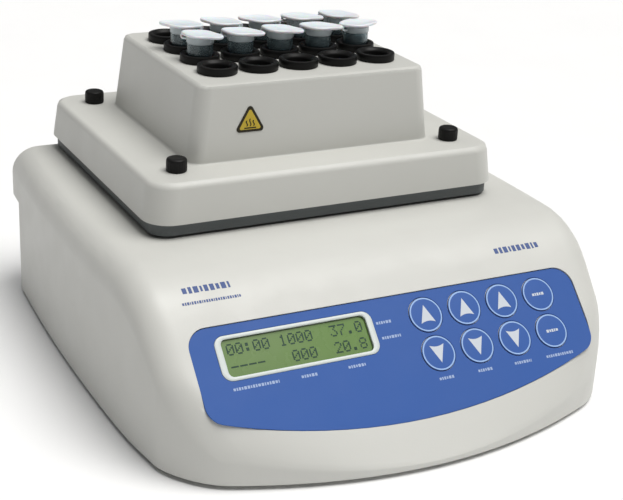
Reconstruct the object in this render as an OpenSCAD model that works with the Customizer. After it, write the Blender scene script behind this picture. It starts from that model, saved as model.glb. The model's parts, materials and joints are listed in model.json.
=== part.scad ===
// Shaking dry block heater: a heated tube block on a small orbiting platform,
// driven from inside a moulded base with a sloping key and display panel.
// Millimetres. Origin on the floor under the middle of the base, front towards -Y.

/* [Base housing] */
// Width of the base
base_w = 205; // [195:1:250]
// Depth of the base, nose to rear lip
base_d = 230; // [222:1:280]
// Height of the housing from its lower edge to its flat top
base_h = 64.5; // [58:0.5:80]
// Height of the housing's lower edge above the floor
foot_gap = 2; // [1.5:0.5:4]
// Wall thickness of the housing
wall = 3; // [2.5:0.1:3.4]
// Depth of the recessed rear wall behind the rear lip
rear_recess = 14; // [8:1:16]
// Height of the rear lip, from the flat top down
lip_h = 22.5; // [20:0.5:26]
// How much narrower the base is at its ends than at mid depth, each side
side_bow = 5.5; // [2:0.5:7]
// How far the front edge curves back at full width
front_bow = 28; // [20:1:30]
// Radius of the front corners in plan
corner_r = 18; // [14:1:22]
// Radius of the rear corners in plan
rear_r = 9; // [8:1:14]
// Radius of the top edges
edge_r = 12; // [8:0.5:13]
// Angle of the sloping front face
slope_a = 45; // [40:1:48]
// Radius between the flat top and the sloping face
blend_r = 40; // [20:1:45]
// Height of the slope's foot above the lower edge
nose_h = 3; // [2:0.5:5]

/* [Control panel] */
// Plain housing left each side of the panel
panel_margin = 17.5; // [15:0.5:20]
// Distance of the panel's middle behind the nose, in plan
panel_back = 30.5; // [29:0.5:32]
// Panel extent up the slope from its middle
panel_up = 22; // [21:0.5:26]
// Panel extent down the slope from its middle
panel_down = 27.7; // [24:0.1:28]
// Rise of the panel's lower edge at its ends
panel_bow = 15.2; // [10:0.2:18]
// Radius of the panel's corners
panel_r = 8; // [4:0.5:10]
// Depth of the panel's recess
pocket = 1.2; // [1.1:0.1:1.5]
// Thickness of the membrane overlay
film = 0.7; // [0.4:0.1:0.9]
// Radius of a round key
key_r = 7.1; // [5:0.05:7.4]
// Spacing of the key columns
key_pitch = 17.8; // [16:0.1:18.5]
// Spacing of the key rows
key_row = 16; // [15.5:0.05:17.5]
// Distance of the last key column from the panel's right end
key_margin = 18.2; // [14:0.1:20]
// Height of the upper key row above the panel's middle
key_up = 12.1; // [11:0.1:13]
// Travel of a key
key_travel = 0.4; // [0.2:0.05:0.6]
// Display frame width
lcd_w = 65.2; // [54:0.2:66]
// Display frame height
lcd_h = 17.4; // [14:0.1:18]
// Display frame border above and below the glass
lcd_rim = 1.4; // [1:0.1:2]
// Display frame border at the glass's ends
lcd_end = 2.6; // [1.5:0.1:3.5]
// Depth of the glass below the frame
lcd_deep = 1.2; // [0.4:0.1:1.6]
// Distance of the display's middle from the panel's left end
lcd_margin = 42.4; // [38:0.1:44]
// Height of the display's middle above the panel's middle
lcd_up = 9.3; // [8:0.1:11]

/* [Heated block] */
// Spacing of the sockets from left to right
pitch_x = 18.4; // [17.6:0.1:22]
// Spacing of the sockets from front to back
pitch_y = 18.2; // [17.6:0.1:22]
// Number of socket columns
cols = 5; // [5:1:5]
// Number of socket rows
rows = 4; // [4:1:4]
// Radius of a socket
socket_r = 5.3; // [4.4:0.1:5.8]
// Outer radius of a collar
collar_r = 8.3; // [7.8:0.1:8.6]
// Height of a collar above the cover
collar_h = 3.3; // [2:0.1:5]
// Block material beyond the outer socket centres, left and right
block_mx = 11.4; // [9:0.1:14]
// Block material beyond the outer socket centres, front and back
block_my = 14; // [9:0.1:16]
// Height of the aluminium block
block_h = 38.4; // [36:0.2:46]
// Thickness of the insulation under the block
pad_t = 6; // [3:0.5:8]
// Wall thickness of the block cover
cover_t = 2.5; // [2:0.1:3]
// Draft of the cover's upper tier at its foot, left and right
draft_x = 4; // [2:0.1:5]
// Draft of the cover's upper tier at its foot, front and back
draft_y = 1.4; // [0.5:0.1:3]
// Width of the cover's lower ledge, left and right
ledge_x = 23.8; // [20:0.1:25]
// Width of the cover's lower ledge, front and back
ledge_y = 19.6; // [18:0.1:21]
// Height of the cover's lower tier
flange_h = 16; // [14:0.5:20]
// Draft of the lower tier
flange_draft = 1.5; // [0.5:0.1:2.5]
// Distance of a retaining screw from the cover's outline
screw_in = 17; // [14:0.5:18]
// Radius of a screw's cap
cap_r = 4.2; // [4:0.1:5]
// Height of a screw's cap
cap_h = 5.5; // [5:0.5:9]

/* [Tubes] */
// Clearance round a tube in its socket
tube_gap = 0.2; // [0.2:0.05:0.8]
// Length of a tube below its rim
tube_l = 36; // [34:0.5:38]
// Length of a tube's neck showing above the collar
tube_neck = 4.5; // [4:0.5:8]
// Radius of a tube's lid
lid_r = 6.2; // [6:0.1:7]
// Height of a tube's rim
rim_h = 2.8; // [1.2:0.1:3]
// Height of a tube's lid
lid_h = 1.2; // [1:0.1:4]
// Length of a lid's tab
tab_l = 4.5; // [2:0.5:5]
// Reach of a lid's hinge
hinge_l = 2.4; // [1.5:0.1:3]

/* [Platform and drive] */
// Gap between the flat top and the platform
platform_gap = 1.2; // [1:0.1:3]
// Thickness of the platform plate
platform_t = 5; // [4:0.5:8]
// Inset of the platform plate from the cover's outline
platform_in = 2; // [1:0.5:4]
// Distance of the cover from the rear end of the base
rear_gap = 5.5; // [5:0.5:12]
// Radius of the orbit
orbit = 1; // [0.5:0.25:1.5]
// Radius of the drive shaft
shaft_r = 4; // [4:0.5:5]
// Radius of the drive shaft's eccentric pin
pin_r = 2.8; // [2.2:0.1:2.8]
// Radius of the platform's hub
hub_r = 12; // [10:0.5:14]
// Half the spacing of the guide cranks, left to right
crank_x = 52; // [44:1:56]
// Half the spacing of the guide cranks, front to back
crank_y = 34; // [28:1:40]
// Radius of a guide crank's journal
journal_r = 3; // [3:0.25:4]
// Radius of a guide crank's pin
crank_pin_r = 2.5; // [2:0.1:2.8]
// Thickness of the chassis plate
chassis_t = 3; // [2:0.5:4]
// Depth of the chassis plate's underside below the flat top
chassis_drop = 20.5; // [20:0.5:24]
// Distance of the motor from the drive shaft
motor_x = 56; // [50:1:60]
// Radius of the motor
motor_r = 18; // [14:0.5:19]
// Height of the motor
motor_h = 26; // [20:1:28]
// Radius of the drive shaft's pulley
pulley_r = 15; // [12:0.5:18]
// Radius of the motor's pulley
drive_r = 7.5; // [6:0.25:9]
// Belt thickness
belt_t = 1.2; // [0.8:0.1:1.5]
// Radius of the counterweight
weight_r = 26; // [20:1:30]

/* [Underside and rear] */
// Thickness of the base plate
plate_t = 2.5; // [2:0.5:3]
// Radius of a foot
foot_r = 9; // [6:0.5:10]
// Distance of the feet and rear sockets' centres from the middle, left to right
foot_x = 66; // [60:1:68]
// Height of the rear inlet and switch above the floor
rear_z = 24; // [22:0.5:26]
// Distance of the inlet and of the switch from the middle
rear_x = 34; // [28:1:40]

/* [Hidden] */
$fn = 48;

// clearances
fit_gap = 0.05;     // running and seating fits, radial
free_gap = 0.3;     // pieces that pass without touching
plate_gap = 0.7;    // base plate in the housing
eps = 0.01;

// heights, from the floor up
z_low = foot_gap;
z_top = z_low + base_h;
z_lip = z_top - lip_h;
z_plate = z_low + plate_t;
z_platform = z_top + platform_gap;
z_cover = z_platform + platform_t;
z_flange = z_cover + flange_h;
z_foil = z_cover + pad_t;
z_block = z_foil + 0.8;
z_block_top = z_block + block_h;
z_deck = z_block_top + free_gap + cover_t;
z_collar = z_deck + collar_h;
z_chassis = z_top - chassis_drop;
z_chassis_top = z_chassis + chassis_t;

// plan sizes
front = -base_d / 2;
rear = base_d / 2;
y_wall = rear - rear_recess;
grid_w = (cols - 1) * pitch_x;
grid_d = (rows - 1) * pitch_y;
block_w = grid_w + 2 * block_mx;
block_d = grid_d + 2 * block_my;
deck_w = block_w + 2 * (cover_t + 1.5);
deck_d = block_d + 2 * (cover_t + 1.5);
tube_r = socket_r - tube_gap;
tier_w = deck_w + 2 * draft_x;
tier_d = deck_d + 2 * draft_y;
flange_w = tier_w + 2 * ledge_x;
flange_d = tier_d + 2 * ledge_y;
y_pin = rear - rear_gap - flange_d / 2;
y_axis = y_pin - orbit;
screw_x = flange_w / 2 - screw_in;
screw_y = flange_d / 2 - screw_in;
panel_w = base_w - 2 * panel_margin;
panel_y = front + panel_back;
panel_z = z_low + nose_h + panel_back * tan(slope_a);
post_x = crank_x + 11;
post_y = crank_y + 11;
boss_x = base_w / 2 - wall - 15;
boss_yf = front + 60;
boss_yr = y_wall - wall - 9;
foot_yf = front + 48;
foot_yr = y_wall - 28;

// ---------- base shape ----------

function ease(k, n) = 1 - cos(90 * k / n);
function lerp(a, b, t) = a + (b - a) * t;
function clamp01(v) = max(0, min(1, v));

// height of the flat top, blend and slope at a depth y, t inside the skin
function top_z(y, t = 0) =
  let (
    zt = z_top - t,
    rb = blend_r - t,
    z0 = z_low + nose_h - t / cos(slope_a),
    yi = front + (zt - z0) / tan(slope_a),
    tl = rb * tan(slope_a / 2)
  )
  y >= yi + tl ? zt
  : y <= yi - tl * cos(slope_a) ? z0 + (y - front) * tan(slope_a)
  : zt - rb + sqrt(rb * rb - pow(y - yi - tl, 2));

// how much a corner of radius r takes off at distance d from the end
function round_off(d, r) = d >= r ? 0 : r - sqrt(max(0, r * r - (r - d) * (r - d)));

function half_w(s, t, s0, s1) =
  base_w / 2 - t - side_bow * pow(2 * s / base_d, 2)
  - round_off(s - s0, corner_r - t) - round_off(s1 - s, rear_r - t);

// the front edge's curve fades out up the slope
function fade(s) =
  let (u = clamp01((front + 75 - s) / 75)) u * u * (3 - 2 * u);
function bowed_y(x, s) = s + front_bow * pow(2 * x / base_w, 2) * fade(s);

// stations from a to b, crowded over the first and last r
function stations(a, b, ra, rb, ne, nm) = concat(
  [for (k = [0:ne]) a + ra * ease(k, ne)],
  [for (k = [1:nm - 1]) lerp(a + ra, b - rb, k / nm)],
  [for (k = [ne:-1:0]) b - rb * ease(k, ne)]
);

// a point of the skin: column u is the distance in from the left edge, signed
function skin_point(s, k, ne, nm, t, s0, s1) =
  let (
    r = edge_r - t / 2,
    h = half_w(s, t, s0, s1),
    last = 2 * ne + nm,
    d = k <= ne ? r * ease(k, ne) : k >= last - ne ? r * ease(last - k, ne) : r,
    x = k <= ne ? d - h : k >= last - ne ? h - d : lerp(r - h, h - r, (k - ne) / nm),
    y = bowed_y(x, s),
    z = top_z(y, t),
    a = max(0, 1 - d / r),
    b = max(0, 1 - (s - s0) / r, 1 - (s1 - s) / r),
    e = 1 - sqrt(max(0, (1 - a * a) * (1 - b * b)))
  )
  [x, y, z - min(r, 0.55 * (z - z_low)) * e];

// solid under the skin, t inside it, between stations s0 and s1, down to zb
module skin_solid(t, s0, s1, zb, ne, nx, ny) {
  st = stations(s0, s1, corner_r, rear_r, ne, ny);
  n = len(st) - 1;
  m = 2 * ne + nx;
  w = m + 1;
  tops = [for (i = [0:n]) for (k = [0:m]) skin_point(st[i], k, ne, nx, t, s0, s1)];
  ring = concat(
    [for (k = [0:m]) k],
    [for (i = [1:n]) i * w + m],
    [for (k = [m - 1:-1:0]) n * w + k],
    [for (i = [n - 1:-1:1]) i * w]
  );
  c = len(ring);
  base = len(tops);
  lows = [for (q = ring) [tops[q].x, tops[q].y, zb]];
  faces = concat(
    [for (i = [0:n - 1]) for (k = [0:m - 1]) [i * w + k, (i + 1) * w + k, (i + 1) * w + k + 1]],
    [for (i = [0:n - 1]) for (k = [0:m - 1]) [i * w + k, (i + 1) * w + k + 1, i * w + k + 1]],
    [for (q = [0:c - 1]) [base + q, ring[q], ring[(q + 1) % c], base + (q + 1) % c]],
    [[for (q = [0:c - 1]) base + q]]
  );
  polyhedron(concat(tops, lows), faces, convexity = 4);
}

// plan outline of the cavity's floor, g inside the wall
function floor_half(y, g) = half_w(y, wall + g, front + 14, y_wall - wall);
module floor_outline(g) {
  s0 = front + 14 + g;
  s1 = y_wall - wall - g;
  ys = stations(s0, s1, corner_r, rear_r, 8, 12);
  r = [for (s = ys) let (h = floor_half(s, g)) [h, bowed_y(h, s)]];
  l = [for (k = [len(ys) - 1:-1:0]) let (h = floor_half(ys[k], g)) [-h, bowed_y(h, ys[k])]];
  f = [for (k = [1:9]) let (h = lerp(-floor_half(s0, g), floor_half(s0, g), k / 10))
    [h, bowed_y(h, s0)]];
  polygon(concat(r, l, f));
}

module on_panel(x = 0, v = 0) {
  translate([0, panel_y, panel_z]) rotate([slope_a, 0, 0]) translate([x, v, 0]) children();
}

module round_rect(w, d, r) {
  square([w - 2 * r, d], center = true);
  square([w, d - 2 * r], center = true);
  for (sx = [-1, 1], sy = [-1, 1]) translate([sx * (w / 2 - r), sy * (d / 2 - r)]) circle(r);
}

// panel outline, grown by g
module panel_shape(g = 0) {
  bow_r = (pow(panel_w / 2, 2) + pow(panel_bow, 2)) / (2 * panel_bow);
  offset(r = panel_r + g) offset(delta = -panel_r) intersection() {
    translate([-panel_w / 2, -panel_down]) square([panel_w, panel_up + panel_down]);
    translate([0, bow_r - panel_down]) circle(bow_r, $fn = 180);
  }
}

key_x0 = panel_w / 2 - key_margin - 3 * key_pitch;
function key_pos(n) = [key_x0 + (n % 4) * key_pitch, key_up - floor(n / 4) * key_row];
lcd_x = -panel_w / 2 + lcd_margin;
board_at = [
  [key_x0 - key_pitch, -1],
  [key_x0 + key_pitch / 2, key_up - key_row / 2],
  [key_x0 + 2.5 * key_pitch, key_up - key_row / 2]
];
inlet_x = -rear_x;
switch_x = rear_x;

boss_at = [[-boss_x, boss_yf], [boss_x, boss_yf], [-boss_x, boss_yr], [boss_x, boss_yr]];
foot_at = [[-foot_x, foot_yf], [foot_x, foot_yf], [-foot_x, foot_yr], [foot_x, foot_yr]];
crank_at = [for (sy = [-1, 1], sx = [-1, 1]) [sx * crank_x, y_axis + sy * crank_y]];
post_at = [for (sy = [-1, 1], sx = [-1, 1]) [sx * post_x, y_axis + sy * post_y]];
screw_at = [for (sy = [-1, 1], sx = [-1, 1]) [sx * screw_x, y_pin + sy * screw_y]];

module housing() {
  hub_hole = hub_r + orbit + 4;
  crank_hole = crank_pin_r + orbit + 4;
  color([0.87, 0.87, 0.85]) difference() {
    union() {
      difference() {
        skin_solid(0, front, rear, z_low, 8, 20, 32);
        skin_solid(wall, front + 14, y_wall - wall, z_low - 1, 6, 14, 18);
      }
      // screw columns
      for (p = boss_at) translate([p.x, p.y, z_plate])
        cylinder(r = 4, h = top_z(p.y - 4) - z_plate - 1);
    }
    // recessed rear wall
    translate([0, 0, z_low - 1]) linear_extrude(z_lip - z_low + 1) difference() {
      translate([-base_w / 2 - 1, y_wall - 8]) square([base_w + 2, rear_recess + 10]);
      translate([0, y_wall - 30]) round_rect(2 * half_w(y_wall - 8, 0, front, rear), 60, 8);
    }
    // platform hub and guide cranks
    translate([0, y_axis, z_top - wall - 1]) cylinder(r = hub_hole, h = wall + 2);
    for (p = crank_at) translate([p.x, p.y, z_top - wall - 1])
      cylinder(r = crank_hole, h = wall + 2);
    for (p = boss_at) translate([p.x, p.y, z_plate - 1]) cylinder(r = 1.5 + fit_gap, h = 12);
    // control panel
    on_panel() translate([0, 0, -pocket]) linear_extrude(10) panel_shape(0.2);
    for (n = [0:7]) let (p = key_pos(n)) on_panel(p.x, p.y) translate([0, 0, -8])
      cylinder(r = 3.2, h = 10);
    on_panel(lcd_x, lcd_up) translate([0, 0, -8]) linear_extrude(10) lcd_window(0.4);
    // inlet and switch
    translate([inlet_x, y_wall - wall - 1, rear_z]) rotate([-90, 0, 0])
      cylinder(r = 4.5 + fit_gap, h = wall + 2);
    translate([switch_x - 7.2, y_wall - wall - 1, rear_z - 9.7]) cube([14.4, wall + 2, 19.4]);
  }
}

module base_plate() {
  color([0.75, 0.75, 0.73]) difference() {
    translate([0, 0, z_low]) linear_extrude(plate_t) floor_outline(plate_gap);
    for (p = boss_at) translate([p.x, p.y, z_low - 1]) cylinder(r = 1.7, h = plate_t + 2);
    for (p = boss_at) translate([p.x, p.y, z_low - 1]) cylinder(r = 3.2, h = 2);
    for (p = foot_at) translate([p.x, p.y, z_low - 1]) cylinder(r = 3 + fit_gap, h = plate_t + 2);
  }
}

module feet() {
  color([0.12, 0.12, 0.12]) for (p = foot_at) translate([p.x, p.y, 0]) {
    cylinder(r = foot_r, h = z_low);
    translate([0, 0, z_low - eps]) cylinder(r = 3, h = plate_t + 1.5);
  }
}

module case_screws() {
  color("silver") for (p = boss_at) translate([p.x, p.y, z_low]) {
    difference() {
      cylinder(r = 2.9, h = 1);
      translate([0, 0, -1]) cylinder(r = 1.4, h = 1.6, $fn = 6);
    }
    cylinder(r = 1.5, h = plate_t + 9);
  }
}

module panel_overlay() {
  color([0.2, 0.36, 0.66]) on_panel() translate([0, 0, -pocket]) linear_extrude(film)
    difference() {
      panel_shape(0);
      for (n = [0:7]) translate(key_pos(n)) circle(key_r + free_gap);
      translate([lcd_x, lcd_up]) round_rect(lcd_w + 0.2, lcd_h + 0.2, 4.1);
    }
}

// opening of the display frame, grown by g
module lcd_window(g) {
  round_rect(lcd_w - 2 * lcd_end + 2 * g, lcd_h - 2 * lcd_rim + 2 * g, 2.2 + g);
}

module display_frame() {
  color([0.82, 0.85, 0.82]) on_panel(lcd_x, lcd_up) translate([0, 0, -pocket])
    linear_extrude(film + 0.2) difference() {
      round_rect(lcd_w, lcd_h, 4);
      lcd_window(0);
    }
}

module display_glass() {
  color([0.44, 0.58, 0.27]) on_panel(lcd_x, lcd_up) translate([0, 0, -4.2])
    linear_extrude(4.2 - pocket + film + 0.2 - lcd_deep) lcd_window(-fit_gap);
}

module display_module() {
  color([0.1, 0.25, 0.15]) on_panel(lcd_x, lcd_up) translate([0, 0, -7.2])
    linear_extrude(3) square([lcd_w + 3, lcd_h + 1], center = true);
}

module control_board() {
  color([0.1, 0.4, 0.2]) on_panel() difference() {
    union() {
      translate([-panel_w / 2 + 12, -8, -8.8]) cube([panel_w - 24, 29, 1.6]);
      for (n = [0:7]) translate([key_pos(n).x, key_pos(n).y, -7.2 - eps])
        linear_extrude(0.9) square([6, 6], center = true);
    }
  }
}

module key(n) {
  p = key_pos(n);
  color([0.22, 0.38, 0.68]) on_panel(p.x, p.y) {
    translate([0, 0, -pocket + key_travel + 0.1])
      cylinder(r = key_r, h = film + 0.2 - key_travel);
    translate([0, 0, -5.5]) cylinder(r = 2.4, h = 5.5 - pocket + key_travel + 0.2);
  }
}
module key_1() { key(0); }
module key_2() { key(1); }
module key_3() { key(2); }
module key_4() { key(3); }
module key_5() { key(4); }
module key_6() { key(5); }
module key_7() { key(6); }
module key_8() { key(7); }

module switch_body() {
  color([0.1, 0.1, 0.1]) translate([switch_x, y_wall, rear_z]) difference() {
    union() {
      translate([-7, -15, -9.5]) cube([14, 15 + eps, 19]);
      translate([-8.5, 0, -11]) cube([17, 2, 22]);
    }
    translate([-5.8, -8, -8.8]) cube([11.6, 11, 17.6]);
    translate([-6.5, -3, 0]) rotate([0, 90, 0]) cylinder(r = 1 + fit_gap, h = 13);
  }
}

module switch_rocker() {
  color([0.15, 0.15, 0.15]) translate([switch_x, y_wall - 3, rear_z]) rotate([-6, 0, 0]) {
    translate([-5.4, 1, -8]) cube([10.8, 4, 16]);
    rotate([0, 90, 0]) translate([0, 0, -5.4]) cylinder(r = 3, h = 10.8);
    rotate([0, 90, 0]) translate([0, 0, -6.3]) cylinder(r = 1, h = 12.6);
  }
}

module dc_inlet() {
  color([0.12, 0.12, 0.12]) translate([inlet_x, y_wall, rear_z]) rotate([-90, 0, 0]) {
    difference() {
      union() {
        translate([0, 0, -13]) cylinder(r = 4.5, h = 13 + eps);
        cylinder(r = 6.5, h = 1.5);
        translate([0, 0, -wall - 2]) cylinder(r = 6.5, h = 2, $fn = 6);
      }
      translate([0, 0, -9]) cylinder(r = 2.9, h = 11);
    }
    translate([0, 0, -9.5]) cylinder(r = 1, h = 9);
  }
}

board_y = front + 76;
module main_board() {
  color([0.1, 0.4, 0.2]) translate([0, board_y, z_plate + 4]) {
    translate([-55, -18, 0]) cube([110, 36, 1.6]);
    translate([-45, -10, 1.6 - eps]) cube([14, 14, 3]);
    translate([-5, -8, 1.6 - eps]) cube([20, 12, 2]);
    for (x = [28, 40]) translate([x, 0, 1.6 - eps]) cylinder(r = 4, h = 11);
  }
}

module board_spacers() {
  color([0.8, 0.75, 0.5]) {
    for (sx = [-1, 1], sy = [-1, 1]) translate([sx * 50, board_y + sy * 14, z_plate])
      cylinder(r = 2.5, h = 4);
    for (p = board_at) on_panel(p.x, p.y) translate([0, 0, -7.2])
      cylinder(r = 2.5, h = 7.2 - wall - 0.1);
  }
}

// ---------- drive ----------

module chassis_plate() {
  color([0.6, 0.62, 0.64]) difference() {
    translate([0, y_axis, z_chassis]) linear_extrude(chassis_t)
      round_rect(2 * post_x + 16, 2 * post_y + 16, 6);
    translate([0, y_axis, z_chassis - 1]) cylinder(r = 13 + fit_gap, h = chassis_t + 2);
    for (p = crank_at) translate([p.x, p.y, z_chassis - 1])
      cylinder(r = journal_r + 2 + fit_gap, h = chassis_t + 2);
    for (p = post_at) translate([p.x, p.y, z_chassis - 1]) cylinder(r = 2.2, h = chassis_t + 2);
  }
}

module chassis_posts() {
  color("silver") for (p = post_at) translate([p.x, p.y, z_plate]) difference() {
    cylinder(r = 5, h = z_chassis - z_plate);
    translate([0, 0, z_chassis - z_plate - 12]) cylinder(r = 2 + fit_gap, h = 13);
  }
}

module chassis_screws() {
  color("silver") for (p = post_at) translate([p.x, p.y, z_chassis - 10]) {
    cylinder(r = 2, h = 10 + chassis_t + eps);
    translate([0, 0, 10 + chassis_t]) difference() {
      cylinder(r = 3.5, h = 2.4);
      translate([0, 0, 1]) cylinder(r = 1.5, h = 2, $fn = 6);
    }
  }
}

module bearing_block() {
  color([0.7, 0.7, 0.72]) translate([0, y_axis, z_chassis]) difference() {
    union() {
      cylinder(r = 13, h = 14);
      translate([0, 0, chassis_t]) cylinder(r = 15, h = 14 - chassis_t);
    }
    translate([0, 0, -1]) cylinder(r = 11, h = 16);
  }
}

module main_bearings() {
  color([0.8, 0.8, 0.82]) translate([0, y_axis, z_chassis]) for (z = [0, 7.2])
    translate([0, 0, z]) difference() {
      cylinder(r = 11 - 0.01, h = 6.8);
      translate([0, 0, -1]) cylinder(r = shaft_r + fit_gap, h = 9);
    }
}

z_web = z_chassis + 14.6;
module drive_shaft() {
  color([0.75, 0.76, 0.78]) {
    translate([0, y_axis, z_chassis - 22]) cylinder(r = shaft_r, h = z_web - z_chassis + 22);
    translate([0, y_pin, z_web - eps]) cylinder(r = pin_r, h = z_cover - 0.5 - z_web);
  }
}

module belt_pulley(r, bore) {
  difference() {
    union() {
      cylinder(r = r, h = 7);
      for (z = [0, 6.2]) translate([0, 0, z]) cylinder(r = r + 1.5, h = 0.8);
    }
    if (bore > 0) translate([0, 0, -1]) cylinder(r = bore, h = 9);
  }
}
z_pulley = z_chassis - 8.5;
module drive_pulley() {
  color([0.65, 0.66, 0.68]) translate([0, y_axis, z_pulley])
    belt_pulley(pulley_r, shaft_r + 0.01);
}

module counterweight() {
  color([0.5, 0.45, 0.3]) translate([0, y_axis, z_chassis - 20]) difference() {
    union() {
      cylinder(r = shaft_r + 5, h = 10);
      intersection() {
        cylinder(r = weight_r, h = 10);
        translate([-weight_r, -weight_r - 1, -1]) cube([2 * weight_r, weight_r, 12]);
      }
    }
    translate([0, 0, -1]) cylinder(r = shaft_r + 0.01, h = 12);
  }
}

motor_y = y_axis;
z_can = z_plate + 2.5;
module motor() {
  color([0.45, 0.46, 0.48]) translate([-motor_x, motor_y, z_plate]) difference() {
    union() {
      linear_extrude(2.5) round_rect(2 * motor_r + 8, 2 * motor_r + 8, 5);
      translate([0, 0, 2.5 - eps]) cylinder(r = motor_r, h = motor_h);
      translate([0, 0, motor_h + 2]) cylinder(r = 6, h = 2.5);
    }
    translate([0, 0, motor_h - 4]) cylinder(r = 2 + fit_gap, h = 12);
  }
}

// the motor's shaft with its pulley
module motor_rotor() {
  color([0.65, 0.66, 0.68]) translate([-motor_x, motor_y, 0]) {
    translate([0, 0, z_plate + motor_h - 3]) cylinder(r = 2, h = z_pulley - z_plate - motor_h + 4);
    translate([0, 0, z_pulley]) belt_pulley(drive_r, 0);
  }
}

// outline round both pulleys, g outside their faces
module belt_outline(g) {
  a = asin((pulley_r - drive_r) / motor_x);
  polygon(concat(
    [for (k = [0:32]) let (t = lerp(-90 - a, 90 + a, k / 32)) (pulley_r + g) * [cos(t), sin(t)]],
    [for (k = [0:24]) let (t = lerp(90 + a, 270 - a, k / 24))
      [-motor_x, 0] + (drive_r + g) * [cos(t), sin(t)]]
  ));
}

module drive_belt() {
  color([0.1, 0.1, 0.1]) translate([0, y_axis, z_pulley + 1.3]) linear_extrude(4.4)
    difference() {
      belt_outline(free_gap + belt_t);
      belt_outline(free_gap);
    }
}

module crank_bushes() {
  color([0.75, 0.6, 0.3]) for (p = crank_at) translate([p.x, p.y, z_chassis]) difference() {
    union() {
      cylinder(r = journal_r + 2, h = 13);
      translate([0, 0, chassis_t]) cylinder(r = journal_r + 4, h = 2);
    }
    translate([0, 0, -1]) cylinder(r = journal_r + fit_gap, h = 15);
  }
}

module crank(n) {
  p = crank_at[n];
  color([0.75, 0.76, 0.78]) translate([p.x, p.y, 0]) {
    translate([0, 0, z_chassis - 2]) cylinder(r = journal_r, h = 15.5);
    translate([0, 0, z_chassis + 13.3]) cylinder(r = journal_r + 1.5, h = 2);
    translate([0, orbit, z_chassis + 15.3 - eps])
      cylinder(r = crank_pin_r, h = z_cover - 0.5 - z_chassis - 15.3);
  }
}
module crank_fl() { crank(0); }
module crank_fr() { crank(1); }
module crank_bl() { crank(2); }
module crank_br() { crank(3); }

// ---------- platform and block ----------

module platform_plate() {
  color([0.28, 0.31, 0.33]) difference() {
    union() {
      translate([0, y_pin, z_platform]) linear_extrude(platform_t)
        round_rect(flange_w - 2 * platform_in, flange_d - 2 * platform_in, 8);
      translate([0, y_pin, z_web + 0.8]) cylinder(r = hub_r, h = z_platform - z_web);
    }
    translate([0, y_pin, z_web]) cylinder(r = pin_r + fit_gap, h = z_cover - z_web + 1);
    for (p = crank_at) translate([p.x, p.y + orbit, z_platform - 1])
      cylinder(r = crank_pin_r + fit_gap, h = platform_t + 2);
    for (p = screw_at) translate([p.x, p.y, z_platform - 1])
      cylinder(r = 2 + fit_gap, h = platform_t + 2);
  }
}

module insulation_pad() {
  color([0.9, 0.88, 0.8]) translate([0, y_pin, z_cover]) linear_extrude(pad_t)
    round_rect(block_w, block_d, 2);
}

module heater_foil() {
  color([0.8, 0.45, 0.1]) translate([0, y_pin, z_foil]) linear_extrude(z_block - z_foil)
    round_rect(block_w - 4, block_d - 4, 2);
}

module heat_sensor() {
  color([0.85, 0.85, 0.88]) translate([-block_w / 2 - 1, y_pin, z_block + 5]) rotate([0, 90, 0])
    cylinder(r = 2, h = 12);
}

function socket_pos(c, r) =
  [(c - (cols - 1) / 2) * pitch_x, y_pin + (r - (rows - 1) / 2) * pitch_y];
z_cone = z_collar + tube_neck - tube_l + 13;
z_tip = z_collar + tube_neck - tube_l;
module tube_block() {
  color([0.72, 0.73, 0.75]) difference() {
    translate([0, y_pin, z_block]) linear_extrude(block_h) round_rect(block_w, block_d, 3);
    for (c = [0:cols - 1], r = [0:rows - 1]) let (p = socket_pos(c, r)) translate([p.x, p.y, 0]) {
      translate([0, 0, z_cone - 1]) cylinder(r = socket_r, h = z_block_top - z_cone + 2);
      translate([0, 0, z_tip - 0.8])
        cylinder(r1 = socket_r - 2.9, r2 = socket_r, h = z_cone - z_tip - 0.2 + eps);
    }
    translate([-block_w / 2 - 1, y_pin, z_block + 5]) rotate([0, 90, 0])
      cylinder(r = 2 + fit_gap, h = 12.5);
  }
}

// rounded block from z0 to z1 whose top edge is eased by e
module tier(w0, d0, w1, d1, r, z0, z1, e) {
  hull() {
    translate([0, 0, z0]) linear_extrude(eps) round_rect(w0, d0, r, $fn = 32);
    translate([0, 0, z1 - e]) linear_extrude(eps) round_rect(w1, d1, r, $fn = 32);
    translate([0, 0, z1 - 0.3 * e]) linear_extrude(eps)
      round_rect(w1 - 0.6 * e, d1 - 0.6 * e, r - 0.3 * e, $fn = 32);
    translate([0, 0, z1 - eps]) linear_extrude(eps)
      round_rect(w1 - 2 * e, d1 - 2 * e, r - e, $fn = 32);
  }
}

module block_cover() {
  fw = flange_w - 2 * flange_draft;
  fd = flange_d - 2 * flange_draft;
  c = 2 * cover_t;
  color([0.88, 0.88, 0.86]) difference() {
    union() {
      translate([0, y_pin, 0]) tier(flange_w, flange_d, fw, fd, 11, z_cover, z_flange, 2.5);
      translate([0, y_pin, 0]) tier(tier_w, tier_d, deck_w, deck_d, 6, z_flange - 2, z_deck, 2);
    }
    translate([0, y_pin, 0])
      tier(flange_w - c, flange_d - c, fw - c, fd - c, 9, z_cover - 1, z_flange - cover_t, 1);
    translate([0, y_pin, 0])
      tier(tier_w - c, tier_d - c, deck_w - c, deck_d - c, 4, z_cover, z_deck - cover_t, 0.5);
    for (c = [0:cols - 1], r = [0:rows - 1]) translate([each socket_pos(c, r), z_deck - cover_t - 1])
      cylinder(r = socket_r + 1.2 + fit_gap, h = cover_t + 2);
    for (p = screw_at) translate([p.x, p.y, z_flange - cover_t - 1])
      cylinder(r = 2 + free_gap, h = cover_t + 2);
  }
}

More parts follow.
